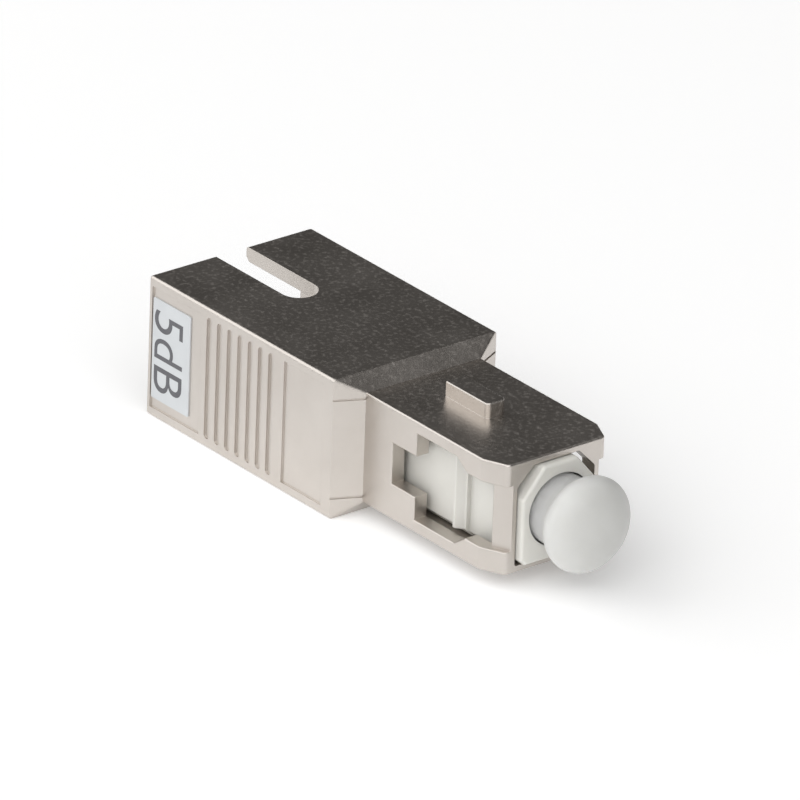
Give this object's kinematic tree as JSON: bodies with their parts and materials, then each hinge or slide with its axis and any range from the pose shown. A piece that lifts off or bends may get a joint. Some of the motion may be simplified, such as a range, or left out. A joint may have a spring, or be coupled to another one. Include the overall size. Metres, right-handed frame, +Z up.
{
  "type": "fibre attenuator",
  "caption": "Plug-in fixed optical fibre attenuator: metal block with a latching receptacle at one end and a push-pull square plug with a sprung ferrule and dust cap at the other.",
  "frame": {"origin": "centre of the main block's underside", "axes": "+X along the optical axis towards the plug, +Z up towards the key and the key slot, the labelled side faces -Y"},
  "size_m": [0.0372, 0.0126, 0.0094],
  "materials": {
    "nickel_plating": "satin nickel plating with a fine grain over a zinc casting",
    "label_paper": "matt white label",
    "latch_plastic": "cream moulded plastic",
    "zirconia": "polished white ceramic",
    "white_plastic": "satin white moulded plastic",
    "flange_metal": "turned, nickel plated",
    "spring_steel": "drawn wire",
    "fibre_glass": "clear glass",
    "cap_plastic": "soft translucent white plastic"
  },
  "bodies": {
    "housing": {"housing": "nickel_plating", "value_label": "label_paper", "latch_insert": "latch_plastic", "sleeve_retainer": "latch_plastic", "split_sleeve": "zirconia"},
    "plug_core": {"plug_frame": "white_plastic", "spring_stop": "flange_metal", "ferrule_spring": "spring_steel"},
    "ferrule": {"ferrule": "zirconia", "ferrule_flange": "flange_metal", "attenuating_fibre": "fibre_glass"},
    "dust_cap": {"dust_cap": "cap_plastic"}
  },
  "joints": [
    {"name": "push_pull", "type": "slide", "parent": "housing", "child": "plug_core", "axis": [1, 0, 0], "range_m": [0, 0.0016]},
    {"name": "ferrule_float", "type": "slide", "parent": "plug_core", "child": "ferrule", "axis": [1, 0, 0], "range_m": [-0.0008, 0], "stiffness_N_per_m": 3000, "springref_m": 0.001, "deforming": ["ferrule_spring"]},
    {"name": "dust_cap_pull", "type": "slide", "parent": "ferrule", "child": "dust_cap", "axis": [1, 0, 0], "range_m": [0, 0.01]}
  ]
}
